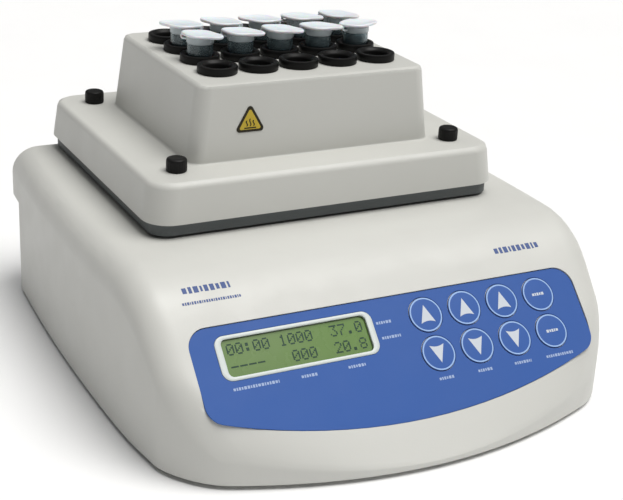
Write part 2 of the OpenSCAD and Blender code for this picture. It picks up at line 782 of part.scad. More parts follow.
module collars() {
  color([0.13, 0.13, 0.13]) for (c = [0:cols - 1], r = [0:rows - 1])
    translate([each socket_pos(c, r), z_deck]) rotate_extrude() polygon([
      [socket_r, -cover_t], [socket_r + 1.2, -cover_t], [socket_r + 1.2, 0],
      [collar_r, 0], [collar_r, collar_h - 0.5], [collar_r - 0.5, collar_h],
      [socket_r + 0.4, collar_h], [socket_r, collar_h - 0.4]
    ]);
}

label_s = 13.7;
label_z = (z_flange + z_deck) / 2 + 1.7;
module caution_label() {
  lean = atan(draft_y / (z_deck - z_flange));
  ly = y_pin - tier_d / 2 + draft_y * (label_z - z_flange + 2) / (z_deck - 2 - z_flange + 2);
  color([0.78, 0.67, 0.2]) translate([-deck_w / 2 + 22, ly - 0.02, label_z])
    rotate([90 - lean, 0, 0]) linear_extrude(0.2) polygon([
      [-label_s / 2, -label_s * 0.43], [label_s / 2, -label_s * 0.43], [0, label_s * 0.43]
    ]);
}

module cap_screw(n) {
  p = screw_at[n];
  color([0.1, 0.1, 0.1]) translate([p.x, p.y, z_flange]) {
    rotate_extrude() polygon([
      [0, 0], [cap_r, 0], [cap_r, cap_h - 0.8], [cap_r - 0.25, cap_h - 0.25],
      [cap_r - 0.8, cap_h], [0, cap_h]
    ]);
    translate([0, 0, z_platform + 0.5 - z_flange])
      cylinder(r = 2, h = z_flange - z_platform - 0.5 + eps);
  }
}
module cap_screw_fl() { cap_screw(0); }
module cap_screw_fr() { cap_screw(1); }
module cap_screw_bl() { cap_screw(2); }
module cap_screw_br() { cap_screw(3); }

// a closed tube in column c, row r, its lid's tab turned by a from the front
module tube(c, r, a) {
  zr = z_collar + tube_neck;
  neck_r = tube_r + 0.4;
  z_lid = zr + rim_h;
  color([0.8, 0.85, 0.87]) translate([each socket_pos(c, r), 0]) {
    rotate_extrude() polygon([
      [0, z_tip], [socket_r - 3.5, z_tip], [tube_r, z_cone + 0.4], [tube_r, z_collar + 0.1],
      [neck_r, z_collar + 0.3], [neck_r, zr - 0.5], [lid_r - 0.4, zr], [lid_r - 0.4, z_lid],
      [lid_r, z_lid], [lid_r, z_lid + lid_h - 0.4], [lid_r - 0.4, z_lid + lid_h],
      [0, z_lid + lid_h]
    ]);
    rotate([0, 0, a]) {
      translate([0, 0, z_lid + 0.1]) linear_extrude(0.9) {
        translate([-2.5, -lid_r - tab_l + 2.5]) square([5, tab_l]);
        translate([0, -lid_r - tab_l + 2.5]) circle(2.5);
      }
      translate([-2, lid_r - 1.5, zr + 0.4]) difference() {
        cube([4, hinge_l + 1.5, z_lid + 0.6 - zr]);
        translate([-1, 0.8, 0.8]) cube([6, hinge_l - 0.1, rim_h - 1.2]);
      }
    }
  }
}
module tube_1() { tube(0, 1, 40); }
module tube_2() { tube(1, 1, 50); }
module tube_3() { tube(2, 1, 45); }
module tube_4() { tube(3, 1, 60); }
module tube_5() { tube(4, 1, 95); }
module tube_6() { tube(0, 2, 235); }
module tube_7() { tube(1, 2, 225); }
module tube_8() { tube(2, 2, 240); }
module tube_9() { tube(3, 2, 62); }
module tube_10() { tube(4, 2, 45); }

housing();
base_plate();
feet();
case_screws();
panel_overlay();
display_frame();
display_glass();
display_module();
control_board();
key_1();
key_2();
key_3();
key_4();
key_5();
key_6();
key_7();
key_8();
switch_body();
switch_rocker();
dc_inlet();
main_board();
board_spacers();
chassis_plate();
chassis_posts();
chassis_screws();
bearing_block();
main_bearings();
drive_shaft();
drive_pulley();
counterweight();
motor();
motor_rotor();
drive_belt();
crank_bushes();
crank_fl();
crank_fr();
crank_bl();
crank_br();
platform_plate();
insulation_pad();
heater_foil();
heat_sensor();
tube_block();
block_cover();
collars();
caution_label();
cap_screw_fl();
cap_screw_fr();
cap_screw_bl();
cap_screw_br();
tube_1();
tube_2();
tube_3();
tube_4();
tube_5();
tube_6();
tube_7();
tube_8();
tube_9();
tube_10();
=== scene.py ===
import json
import math

import bmesh
import bpy
from mathutils import Matrix, Vector
from mathutils.bvhtree import BVHTree

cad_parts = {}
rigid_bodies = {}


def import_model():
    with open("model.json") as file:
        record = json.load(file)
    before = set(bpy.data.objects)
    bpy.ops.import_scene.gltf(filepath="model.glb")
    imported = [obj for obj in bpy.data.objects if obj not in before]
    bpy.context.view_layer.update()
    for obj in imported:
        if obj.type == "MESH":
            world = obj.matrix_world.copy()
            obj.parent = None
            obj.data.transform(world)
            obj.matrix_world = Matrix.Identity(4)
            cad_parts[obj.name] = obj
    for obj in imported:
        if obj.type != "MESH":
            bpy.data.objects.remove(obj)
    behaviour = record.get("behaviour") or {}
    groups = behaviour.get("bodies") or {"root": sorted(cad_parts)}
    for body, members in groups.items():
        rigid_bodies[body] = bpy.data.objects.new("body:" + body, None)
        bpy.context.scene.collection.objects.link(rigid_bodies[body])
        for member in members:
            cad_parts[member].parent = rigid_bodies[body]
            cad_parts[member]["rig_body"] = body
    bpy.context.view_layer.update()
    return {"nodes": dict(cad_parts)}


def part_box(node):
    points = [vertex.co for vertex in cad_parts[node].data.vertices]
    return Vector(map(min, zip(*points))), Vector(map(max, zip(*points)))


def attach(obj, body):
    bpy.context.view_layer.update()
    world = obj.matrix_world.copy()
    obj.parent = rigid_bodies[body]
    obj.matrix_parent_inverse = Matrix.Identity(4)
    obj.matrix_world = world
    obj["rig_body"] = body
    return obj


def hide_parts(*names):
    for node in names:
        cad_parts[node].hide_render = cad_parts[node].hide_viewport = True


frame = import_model()
nodes = frame["nodes"]
mm = 0.001
print("frame loaded:", len(nodes), "nodes")

# camera, floor and light

cameraView = {
    "place": (-0.2557, -0.4788, 0.2686),
    "azimuth": 28.32,      # degrees the camera stands to the left of the front
    "elevation": 22.53,
    "roll": 3.02,
    "lens": 79.07,
}


def makeCamera(view):
    azimuth, elevation, roll = (math.radians(view[k]) for k in ("azimuth", "elevation", "roll"))
    level = math.cos(elevation)
    back = Vector((-math.sin(azimuth) * level, -math.cos(azimuth) * level, math.sin(elevation)))
    right = Vector((math.cos(azimuth), -math.sin(azimuth), 0))
    up = back.cross(right)
    side = math.cos(roll) * right + math.sin(roll) * up
    top = back.cross(side)
    data = bpy.data.cameras.new("camera")
    data.lens = view["lens"]
    data.sensor_width = 36
    data.clip_start, data.clip_end = 0.01, 20
    camera = bpy.data.objects.new("camera", data)
    turn = Matrix((side, top, back)).transposed().to_4x4()
    camera.matrix_world = Matrix.Translation(view["place"]) @ turn
    bpy.context.scene.collection.objects.link(camera)
    bpy.context.scene.camera = camera


makeCamera(cameraView)

studio = {
    "sky": (0.96, 0.975, 1.0),
    "skyStrength": 0.13,
    "floor": (0.93, 0.93, 0.93),
    "floorHalf": 6,        # metres from the middle to an edge
    # name: direction the light comes from, softness in degrees, strength, colour
    "lights": {
        "key": ((0.28, -0.24, 1.0), 44, 2.65, (1.0, 0.99, 0.97)),
        "top": ((0.1, 0.1, 1.0), 60, 0.7, (1.0, 1.0, 1.0)),
    },
}


def softLight(name, towards, softness, strength, colour):
    data = bpy.data.lights.new(name, "SUN")
    data.angle, data.energy, data.color = math.radians(softness), strength, colour
    light = bpy.data.objects.new(name, data)
    light.matrix_world = Vector(towards).to_track_quat("Z", "Y").to_matrix().to_4x4()
    bpy.context.scene.collection.objects.link(light)


for lightName, settings in studio["lights"].items():
    softLight(lightName + "Light", *settings)

world = bpy.data.worlds.new("studio")
world.use_nodes = True
world.node_tree.nodes["Background"].inputs["Color"].default_value = (*studio["sky"], 1)
world.node_tree.nodes["Background"].inputs["Strength"].default_value = studio["skyStrength"]
bpy.context.scene.world = world
bpy.context.scene.view_settings.view_transform = "Standard"

# shader node groups


def newGroup(name, inputs, outputs):
    group = bpy.data.node_groups.new(name, "ShaderNodeTree")
    for label, kind, value in inputs:
        socket = group.interface.new_socket(label, in_out="INPUT", socket_type=kind)
        socket.default_value = value
    for label, kind in outputs:
        group.interface.new_socket(label, in_out="OUTPUT", socket_type=kind)
    start = group.nodes.new("NodeGroupInput")
    end = group.nodes.new("NodeGroupOutput")
    return group, start.outputs, end.inputs


def addNode(tree, kind, values=None, **settings):
    node = tree.nodes.new(kind)
    for key, value in settings.items():
        setattr(node, key, value)
    for key, value in (values or {}).items():
        if isinstance(value, bpy.types.NodeSocket):
            tree.links.new(value, node.inputs[key])
        else:
            node.inputs[key].default_value = value
    return node


def mathNode(tree, operation, a, b):
    return addNode(tree, "ShaderNodeMath", {0: a, 1: b}, operation=operation).outputs[0]


def mixColour(tree, factor, a, b):
    node = tree.nodes.new("ShaderNodeMix")
    node.data_type = "RGBA"
    for key, value in (("Factor_Float", factor), ("A_Color", a), ("B_Color", b)):
        socket = next(s for s in node.inputs if s.identifier == key)
        if isinstance(value, bpy.types.NodeSocket):
            tree.links.new(value, socket)
        else:
            socket.default_value = value
    return next(s for s in node.outputs if s.identifier == "Result_Color")


def noiseNode(tree, vector, scale, detail=3.0, roughness=0.5):
    return addNode(tree, "ShaderNodeTexNoise",
                   {"Vector": vector, "Scale": scale, "Detail": detail, "Roughness": roughness})


def remap(tree, value, low, high, toLow=0.0, toHigh=1.0):
    return addNode(tree, "ShaderNodeMapRange", {
        "Value": value, "From Min": low, "From Max": high, "To Min": toLow, "To Max": toHigh,
    }).outputs["Result"]


def buildMouldGrain():
    group, given, out = newGroup(
        "mouldGrain",
        [("Colour", "NodeSocketColor", (0.8, 0.8, 0.8, 1)), ("Shade", "NodeSocketFloat", 0.06),
         ("Grain Size", "NodeSocketFloat", 1800.0), ("Grain Depth", "NodeSocketFloat", 0.15),
         ("Roughness", "NodeSocketFloat", 0.45), ("Spread", "NodeSocketFloat", 0.08)],
        [("Colour", "NodeSocketColor"), ("Roughness", "NodeSocketFloat"),
         ("Normal", "NodeSocketVector")])
    place = addNode(group, "ShaderNodeTexCoord").outputs["Object"]
    cloud = noiseNode(group, place, 14.0, 4.0).outputs["Fac"]
    smear = noiseNode(group, place, 60.0, 5.0, 0.6).outputs["Fac"]
    grain = noiseNode(group, place, given["Grain Size"], 2.0).outputs["Fac"]
    dark = mathNode(group, "MULTIPLY", remap(group, cloud, 0.3, 0.7), given["Shade"])
    shaded = mixColour(group, dark, given["Colour"], (0.25, 0.24, 0.22, 1))
    group.links.new(shaded, out["Colour"])
    spread = mathNode(group, "MULTIPLY", remap(group, smear, 0.3, 0.7, -1.0, 1.0), given["Spread"])
    group.links.new(mathNode(group, "ADD", spread, given["Roughness"]), out["Roughness"])
    bump = addNode(group, "ShaderNodeBump",
                   {"Strength": given["Grain Depth"], "Distance": 0.0002, "Height": grain})
    group.links.new(bump.outputs["Normal"], out["Normal"])
    return group


def buildSettledDust():
    group, given, out = newGroup(
        "settledDust",
        [("Colour", "NodeSocketColor", (0.5, 0.5, 0.5, 1)), ("Amount", "NodeSocketFloat", 0.1),
         ("Dust", "NodeSocketColor", (0.6, 0.58, 0.54, 1))],
        [("Colour", "NodeSocketColor"), ("Mask", "NodeSocketFloat")])
    place = addNode(group, "ShaderNodeTexCoord").outputs["Object"]
    normal = addNode(group, "ShaderNodeNewGeometry").outputs["Normal"]
    up = addNode(group, "ShaderNodeSeparateXYZ", {"Vector": normal}).outputs["Z"]
    patch = noiseNode(group, place, 90.0, 6.0, 0.65).outputs["Fac"]
    speck = noiseNode(group, place, 900.0, 2.0).outputs["Fac"]
    mask = mathNode(group, "MULTIPLY", remap(group, up, 0.2, 1.0), remap(group, patch, 0.4, 0.75))
    mask = mathNode(group, "MULTIPLY", mask, remap(group, speck, 0.35, 0.65, 0.5, 1.0))
    mask = mathNode(group, "MULTIPLY", mask, given["Amount"])
    group.links.new(mixColour(group, mask, given["Colour"], given["Dust"]), out["Colour"])
    group.links.new(mask, out["Mask"])
    return group


def buildTooling():
    group, given, out = newGroup(
        "toolingMarks",
        [("Colour", "NodeSocketColor", (0.7, 0.7, 0.7, 1)), ("Stretch", "NodeSocketVector", (1, 1, 40)),
         ("Depth", "NodeSocketFloat", 0.1), ("Roughness", "NodeSocketFloat", 0.3)],
        [("Colour", "NodeSocketColor"), ("Roughness", "NodeSocketFloat"),
         ("Normal", "NodeSocketVector")])
    place = addNode(group, "ShaderNodeTexCoord").outputs["Object"]
    drawn = addNode(group, "ShaderNodeVectorMath", {0: place, 1: given["Stretch"]},
                    operation="MULTIPLY").outputs[0]
    line = noiseNode(group, drawn, 60.0, 4.0, 0.6).outputs["Fac"]
    stain = noiseNode(group, place, 45.0, 4.0).outputs["Fac"]
    tone = mixColour(group, remap(group, stain, 0.35, 0.7, 0.0, 0.25), given["Colour"],
                     (0.3, 0.29, 0.27, 1))
    group.links.new(tone, out["Colour"])
    rough = mathNode(group, "ADD", given["Roughness"], remap(group, line, 0.3, 0.7, -0.08, 0.12))
    group.links.new(rough, out["Roughness"])
    bump = addNode(group, "ShaderNodeBump",
                   {"Strength": given["Depth"], "Distance": 0.0002, "Height": line})
    group.links.new(bump.outputs["Normal"], out["Normal"])
    return group


mouldGrain = buildMouldGrain()
settledDust = buildSettledDust()
toolingMarks = buildTooling()

# materials


def newMaterial(name, plain=None):
    material = bpy.data.materials.new(name)
    material.use_nodes = True
    tree = material.node_tree
    shader = tree.nodes["Principled BSDF"]
    for key, value in (plain or {}).items():
        shader.inputs[key].default_value = value
    return material, tree, shader


def useGroup(tree, group, values):
    return addNode(tree, "ShaderNodeGroup", values, node_tree=group).outputs


def wireShader(tree, shader, colour, marks):
    tree.links.new(colour, shader.inputs["Base Color"])
    tree.links.new(marks["Roughness"], shader.inputs["Roughness"])
    tree.links.new(marks["Normal"], shader.inputs["Normal"])


def plastic(name, colour, roughness, shade, size, depth, spread=0.08, dust=0.12, plain=None):
    material, tree, shader = newMaterial(name, plain)
    grain = useGroup(tree, mouldGrain, {
        "Colour": (*colour, 1), "Shade": shade, "Grain Size": size, "Grain Depth": depth,
        "Roughness": roughness, "Spread": spread})
    dusty = useGroup(tree, settledDust, {"Colour": grain["Colour"], "Amount": dust})
    wireShader(tree, shader, dusty["Colour"], grain)
    return material


def metal(name, colour, roughness, stretch=(1, 1, 40)):
    material, tree, shader = newMaterial(name, {"Metallic": 1.0})
    marks = useGroup(tree, toolingMarks, {
        "Colour": (*colour, 1), "Stretch": stretch, "Roughness": roughness})
    wireShader(tree, shader, marks["Colour"], marks)
    return material


def tubePlastic():
    material, tree, shader = newMaterial("tubePolypropylene", {
        "Transmission Weight": 0.8, "IOR": 1.49, "Specular IOR Level": 0.4})
    grain = useGroup(tree, mouldGrain, {
        # the body's dark teal colour is partly the plastic's own tint and partly painted shade of the
        # dark socket seen through it; the lid of the same plastic is near white
        "Colour": (0.30, 0.40, 0.43, 1), "Shade": 0.1, "Grain Size": 1500, "Grain Depth": 0.1,
        "Roughness": 0.24, "Spread": 0.06})
    wireShader(tree, shader, grain["Colour"], grain)
    return material


calm = {"Specular IOR Level": 0.14}   # films and dark parts that catch little glare

# after its name a plastic has: colour, roughness, shade of its marks, size and depth of its grain,
# spread of its roughness, dust, and plain numbers for the shader's own sockets
paint = {
    "housing": plastic("housingPlastic", (0.625, 0.625, 0.59), 0.46, 0.05, 1500, 0.10),
    "cover": plastic("coverPlastic", (0.60, 0.60, 0.565), 0.46, 0.05, 1500, 0.10),
    "under": plastic("undersidePlastic", (0.5, 0.5, 0.48), 0.55, 0.1, 1200, 0.25),
    "panel": plastic("panelFilm", (0.036, 0.108, 0.37), 0.42, 0.04, 2600, 0.10, 0.05, 0.01, calm),
    "key": plastic("keyFilm", (0.038, 0.112, 0.38), 0.42, 0.04, 2600, 0.10, 0.05, 0.01, calm),
    "keyRing": plastic("ringInk", (0.34, 0.50, 0.80), 0.4, 0.02, 2600, 0.05, 0.03, 0.0, calm),
    "ink": plastic("paleInk", (0.60, 0.64, 0.70), 0.4, 0.02, 2600, 0.05, 0.03, 0.0, calm),
    "captionInk": plastic("captionInk", (0.36, 0.46, 0.68), 0.4, 0.1, 2600, 0.05, 0.03, 0.0, calm),
    "blueInk": plastic("blueInk", (0.075, 0.115, 0.28), 0.4, 0.02, 2600, 0.05, 0.03, 0.0, calm),
    "frame": plastic("displayFrame", (0.60, 0.65, 0.63), 0.34, 0.03, 2600, 0.08, 0.05, 0.02),
    "lcd": plastic("displayGreen", (0.10, 0.205, 0.03), 0.26, 0.22, 3000, 0.02, 0.04, 0.0,
                   {**calm, "Coat Weight": 0.08, "Coat Roughness": 0.08}),
    "lcdDots": plastic("displayDots", (0.018, 0.052, 0.03), 0.35, 0.02, 3000, 0.02, 0.02, 0.0, calm),
    "black": plastic("blackPlastic", (0.010, 0.010, 0.010), 0.42, 0.03, 1600, 0.12, 0.08, 0.01, calm),
    "cap": plastic("capPlastic", (0.005, 0.005, 0.005), 0.42, 0.03, 1600, 0.10, 0.08, 0.008, calm),
    "rubber": plastic("footRubber", (0.02, 0.02, 0.02), 0.75, 0.1, 1400, 0.3, 0.08, 0.05, calm),
    "platform": plastic("platformPaint", (0.085, 0.098, 0.102), 0.5, 0.06, 1400, 0.3, 0.08, 0.05),
    "board": plastic("boardMask", (0.03, 0.16, 0.07), 0.35, 0.1, 900, 0.1),
    "foam": plastic("insulationBoard", (0.72, 0.70, 0.62), 0.9, 0.15, 700, 0.7),
    "foil": plastic("heaterFoil", (0.55, 0.24, 0.04), 0.3, 0.1, 500, 0.1),
    "sign": plastic("signYellow", (0.56, 0.41, 0.04), 0.45, 0.12, 2000, 0.05, 0.05, 0.02, calm),
    "signInk": plastic("signInk", (0.03, 0.026, 0.015), 0.45, 0.02, 2000, 0.05, 0.05, 0.0, calm),
    "steel": metal("turnedSteel", (0.62, 0.63, 0.65), 0.28),
    "sheet": metal("platedSheet", (0.50, 0.51, 0.53), 0.42, (1, 30, 1)),
    "aluminium": metal("milledAluminium", (0.70, 0.71, 0.73), 0.34, (1, 1, 30)),
    "brass": metal("turnedBrass", (0.60, 0.44, 0.18), 0.32),
    "tube": tubePlastic(),
    "sample": plastic("sampleLiquid", (0.02, 0.035, 0.038), 0.15, 0.05, 2000, 0.0, 0.03, 0.0),
    "skirt": plastic("skirtPolypropylene", (0.66, 0.74, 0.77), 0.25, 0.1, 1500, 0.08, 0.06, 0.0,
                     {"Transmission Weight": 0.35, "IOR": 1.49}),
    "lid": plastic("lidPolypropylene", (0.83, 0.86, 0.90), 0.35, 0.03, 1700, 0.08, 0.06, 0.02,
                   {"Subsurface Weight": 0.25, "Subsurface Scale": 0.002}),
}
print("materials:", len(paint))

# piece helpers: shapes are in mm and are put in place by a matrix


def addPiece(name, bm, material, body, replaces=(), angle=35, even=False):
    # smooth shading breaks at edges sharper than the angle; "even" weighs normals by face area
    mesh = bpy.data.meshes.new(name)
    bm.to_mesh(mesh)
    bm.free()
    mesh.materials.append(paint[material])
    mesh.shade_smooth()
    mesh.set_sharp_from_angle(angle=math.radians(angle))
    piece = bpy.data.objects.new(name, mesh)
    bpy.context.scene.collection.objects.link(piece)
    if even:
        piece.modifiers.new("evenShading", "WEIGHTED_NORMAL").keep_sharp = True
    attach(piece, body)
    if replaces:
        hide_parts(*replaces)
    return piece


def at(x=0.0, y=0.0, z=0.0):
    return Matrix.Translation((x * mm, y * mm, z * mm))


def lathe(bm, profile, place, steps, ring=False):
    # a profile of radii and heights turned round the upright axis; a ring's profile is closed
    dots = [bm.verts.new((r * mm, 0, z * mm)) for r, z in profile]
    pairs = list(zip(dots, dots[1:])) + ([(dots[-1], dots[0])] if ring else [])
    lines = [bm.edges.new(pair) for pair in pairs]
    before = set(bm.verts) - set(dots)
    bmesh.ops.spin(bm, geom=dots + lines, cent=(0, 0, 0), axis=(0, 0, 1),
                   angle=math.tau, steps=steps, use_merge=True, use_duplicate=False)
    made = [v for v in bm.verts if v not in before]
    bmesh.ops.remove_doubles(bm, verts=made, dist=1e-7)
    made = [v for v in bm.verts if v not in before]
    faces = list({f for v in made for f in v.link_faces})
    bmesh.ops.recalc_face_normals(bm, faces=faces)
    bmesh.ops.transform(bm, matrix=place, verts=made)


def slab(bm, points, thickness, place):
    # a flat outline raised to a thickness
    dots = [bm.verts.new((x * mm, y * mm, 0)) for x, y in points]
    face = bm.faces.new(dots)
    raised = bmesh.ops.extrude_face_region(bm, geom=[face])["geom"]
    top = [g for g in raised if isinstance(g, bmesh.types.BMVert)]
    bmesh.ops.translate(bm, vec=(0, 0, thickness * mm), verts=top)
    verts = dots + top
    faces = list({f for v in verts for f in v.link_faces})
    bmesh.ops.recalc_face_normals(bm, faces=faces)
    bmesh.ops.transform(bm, matrix=place, verts=verts)


def bar(bm, x, y, w, h, thickness, place):
    # an oblong slab round x, y
    slab(bm, [(x - w / 2, y - h / 2), (x + w / 2, y - h / 2),
              (x + w / 2, y + h / 2), (x - w / 2, y + h / 2)], thickness, place)


def cadCopy(node, material, values):
    # the CAD shape again: edges sharper than "limit" degrees are rounded by "bevel" mm, and the
    # shading breaks at edges sharper than "shade" degrees
    source = nodes[node]
    bm = bmesh.new()
    bm.from_mesh(source.data)
    bmesh.ops.remove_doubles(bm, verts=bm.verts, dist=2e-6)
    bmesh.ops.dissolve_limit(bm, angle_limit=math.radians(0.4), verts=bm.verts, edges=bm.edges)
    if values["bevel"]:
        limit = math.radians(values["limit"])
        sharp = [e for e in bm.edges if len(e.link_faces) == 2 and e.calc_face_angle(0) > limit]
        bmesh.ops.bevel(bm, geom=sharp, offset=values["bevel"] * mm, offset_type="OFFSET",
                        affect="EDGES", segments=values["segments"], profile=0.5,
                        clamp_overlap=True, material=-1)
    return addPiece(node + "Shell", bm, material, source["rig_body"], (node,),
                    values["shade"], even=True)


def dressNode(node, material):
    mesh = nodes[node].data
    mesh.materials.clear()
    mesh.materials.append(paint[material])


# base

moulding = {"bevel": 0.35, "limit": 50, "segments": 2, "shade": 30}
cadCopy("housing", "housing", moulding)
underside = {"bevel": 0.4, "limit": 50, "segments": 2, "shade": 35}
cadCopy("base_plate", "under", underside)

# the pad's radius and height, the stem's radius, and how far the rim, lip and dish are cut
foot = {"radius": 9.0, "tall": 2.0, "stem": 3.0, "rim": 1.1, "lip": 2.2, "dish": 0.7}


def makeFeet(values):
    low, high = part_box("feet")
    radius, pad, stem = values["radius"], values["tall"], values["stem"]
    rim, lip, dish = values["rim"], values["lip"], values["dish"]
    top = (high - low).z / mm
    bm = bmesh.new()
    for x in (low.x / mm + radius, high.x / mm - radius):
        for y in (low.y / mm + radius, high.y / mm - radius):
            lathe(bm, [(0, dish), (radius - lip - 0.6, dish), (radius - lip, 0), (radius - rim, 0),
                       (radius - 0.3, 0.3), (radius, rim), (radius, pad), (stem, pad),
                       (stem, top), (0, top)], at(x, y, 0), 48)
    addPiece("rubberFeet", bm, "rubber", "base", ("feet",), 40)


makeFeet(foot)
print("base done")

# control panel, in its own frame: u to the right, v up the slope, w out of the panel

slope = math.radians(45)
overlayLow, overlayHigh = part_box("panel_overlay")
panelShift = (0, 2.85 * mm, 0.85 * mm)   # from the film's middle to the panel's own origin
panelMiddle = Matrix.Translation((overlayLow + overlayHigh) / 2)
panelFrame = panelMiddle @ Matrix.Rotation(slope, 4, "X") @ Matrix.Translation(panelShift)


def panelBox(node):
    spots = [panelFrame.inverted() @ v.co / mm for v in nodes[node].data.vertices]
    low = Vector(min(s[k] for s in spots) for k in range(3))
    high = Vector(max(s[k] for s in spots) for k in range(3))
    return low, high


def onPanel(u=0.0, v=0.0, w=0.0, turn=0.0):
    return panelFrame @ at(u, v, w) @ Matrix.Rotation(math.radians(turn), 4, "Z")


filmTop = panelBox("panel_overlay")[1].z
overlay = {"bevel": 0.12, "limit": 60, "segments": 2, "shade": 40}
cadCopy("panel_overlay", "panel", overlay)

panelPrint = {
    "thick": 0.03, "markThick": 0.11,
    "stem": 2.4, "ringOut": 7.0, "ringIn": 6.35,
    "arrowWide": 6.4, "arrowTall": 7.4, "notch": 0.75, "arrowShift": 0.3,
    # captions and key words are rows of strokes: width and height, gap, and the mix of widths
    "dash": (0.9, 1.15), "dashGap": 0.34, "mix": (1.0, 0.6, 0.85, 0.7, 1.15),
    "word": 6.0, "wordDash": (1.0, 1.2), "wordGap": 0.3,
    # u, v and length of each caption
    "captions": [(-63.5, -2.6, 18.3), (-42.1, -2.7, 6.5), (-21.8, -2.6, 7.8), (-5.3, 12.2, 6.8),
                 (-4.1, 6.0, 8.2)],
    # the lower keys' captions: lengths, and how far they stand below the keys' middles
    "keyCaptions": [6.5, 6.7, 8, 13],
    "captionDrop": 10.1,
}


def strokes(bm, long, size, gap, thickness, place, mix, least=0.2, lower=0.86):
    # strokes of mixed widths fill the length, and every third one is a little lower
    reach, k = -long / 2, 0
    while reach < long / 2 - least:
        wide = min(size[0] * mix[k % len(mix)], long / 2 - reach)
        tall = size[1] * (1.0 if k % 3 else lower)
        bar(bm, reach + wide / 2, 0, wide, tall, thickness, place)
        reach, k = reach + wide + gap, k + 1


def arrowPoints(wide, tall, notch, steps=6):
    base = [(-wide / 2 + wide * k / steps,
             -tall / 2 + notch * (1 - (2 * k / steps - 1) ** 2)) for k in range(steps + 1)]
    return [(0.0, tall / 2)] + base


def makeKey(n, values):
    low, high = panelBox("key_%d" % n)
    r, top, body = (high.x - low.x) / 2, high.z, "key_%d_body" % n
    u, v = (low.x + high.x) / 2, high.y - r   # the cap's middle, taken from its upper edge
    stem, inner, outer = values["stem"], values["ringIn"], values["ringOut"]
    bm = bmesh.new()
    lathe(bm, [(0, low.z), (stem, low.z), (stem, top - 0.5), (r - 0.05, top - 0.5),
               (r, top - 0.42), (r, top - 0.12), (r - 0.12, top), (r * 0.85, top + 0.02),
               (r * 0.45, top + 0.1), (0, top + 0.13)], onPanel(u, v), 72)
    addPiece("keyCap%d" % n, bm, "key", body, ("key_%d" % n,), 50)
    bm = bmesh.new()
    lathe(bm, [(inner, top - 0.03), (inner + 0.08, top + 0.06), (outer - 0.08, top + 0.05),
               (outer, top - 0.03)], onPanel(u, v), 72, ring=True)
    addPiece("keyRing%d" % n, bm, "keyRing", body)
    makeKeyMark(n, values, onPanel(u, v, top + 0.03, 180 if n > 4 else 0))
    if n > 4:
        bm = bmesh.new()
        strokes(bm, values["keyCaptions"][n - 5], values["dash"], values["dashGap"],
                values["thick"], onPanel(u, v - values["captionDrop"], filmTop), values["mix"])
        addPiece("keyCaption%d" % n, bm, "captionInk", "base")


def makeKeyMark(n, values, lift):
    # an arrow, or a word on the last key of each row
    bm = bmesh.new()
    if n % 4:
        slab(bm, arrowPoints(values["arrowWide"], values["arrowTall"], values["notch"]),
             values["markThick"], lift @ at(0, values["arrowShift"], 0))
    else:
        strokes(bm, values["word"], values["wordDash"], values["wordGap"], values["markThick"],
                lift, values["mix"])
    addPiece("keyMark%d" % n, bm, "ink", "key_%d_body" % n)


for number in range(1, 9):
    makeKey(number, panelPrint)


def makeCaptions(values):
    bm = bmesh.new()
    for u, v, long in values["captions"]:
        strokes(bm, long, values["dash"], values["dashGap"], values["thick"],
                onPanel(u, v, filmTop), values["mix"])
    addPiece("panelCaptions", bm, "captionInk", "base")


makeCaptions(panelPrint)

# generic printed rows on the housing above the panel, laid on its curved skin

housingPrint = {
    # u, v, length and height of each row
    "rows": [(-71.6, 37.6, 19.0, 2.8), (-71.0, 32.2, 23.5, 1.2), (64.7, 33.2, 21.5, 2.8)],
    "wide": 0.62, "gap": 0.26,     # of a stroke's height
    "mix": (1.0, 0.75, 1.1, 0.5, 0.9),
    "thick": 0.04,
    "slices": 6,                   # cuts that let a row follow the curve
    "above": 40,                   # the height from which the skin is looked for
}


def makeHousingPrint(values):
    skin = bmesh.new()
    skin.from_mesh(nodes["housing"].data)
    tree = BVHTree.FromBMesh(skin)
    skin.free()
    across, out = (panelFrame.to_3x3() @ Vector(axis) for axis in ((0, 1, 0), (0, 0, 1)))
    bm = bmesh.new()
    for u, v, long, tall in values["rows"]:
        strokes(bm, long, (values["wide"] * tall, tall), values["gap"] * tall,
                2 * values["thick"], onPanel(u, v, -values["thick"]), values["mix"])
    for u, v, long, tall in values["rows"]:
        for k in range(1, values["slices"]):
            cut = onPanel(u, v + tall * (k / values["slices"] - 0.5)).translation
            bmesh.ops.bisect_plane(bm, geom=bm.verts[:] + bm.edges[:] + bm.faces[:], dist=1e-6,
                                   plane_co=cut, plane_no=across)
    for vert in bm.verts:
        lift = (panelFrame.inverted() @ vert.co).z
        hit = tree.ray_cast(vert.co + out * values["above"] * mm, -out)[0]
        if hit:
            vert.co = hit + out * lift
    addPiece("housingPrint", bm, "blueInk", "base")


makeHousingPrint(housingPrint)
print("panel done")

# display: a pale frame round a glass plate with rows of dot characters

displayFrame = {
    "corner": 4.0, "innerCorner": 2.2,
    "ends": 2.6, "sides": 1.4,     # widths of the frame
    "edge": 0.3,                   # rounding
}


def roundRect(wide, tall, corner, steps=10):
    points = []
    for k, (sx, sy) in enumerate(((1, 1), (-1, 1), (-1, -1), (1, -1))):
        for s in range(steps + 1):
            a = math.radians(90 * k + 90 * s / steps)
            points.append((sx * (wide / 2 - corner) + corner * math.cos(a),
                           sy * (tall / 2 - corner) + corner * math.sin(a)))
    return points


def raisedFrom(dots, raised):
    # the fresh vertices of an extrusion, in the order of those that they came from
    fresh = {g for g in raised if isinstance(g, bmesh.types.BMVert)}
    return [next(e.other_vert(v) for e in v.link_edges if e.other_vert(v) in fresh) for v in dots]


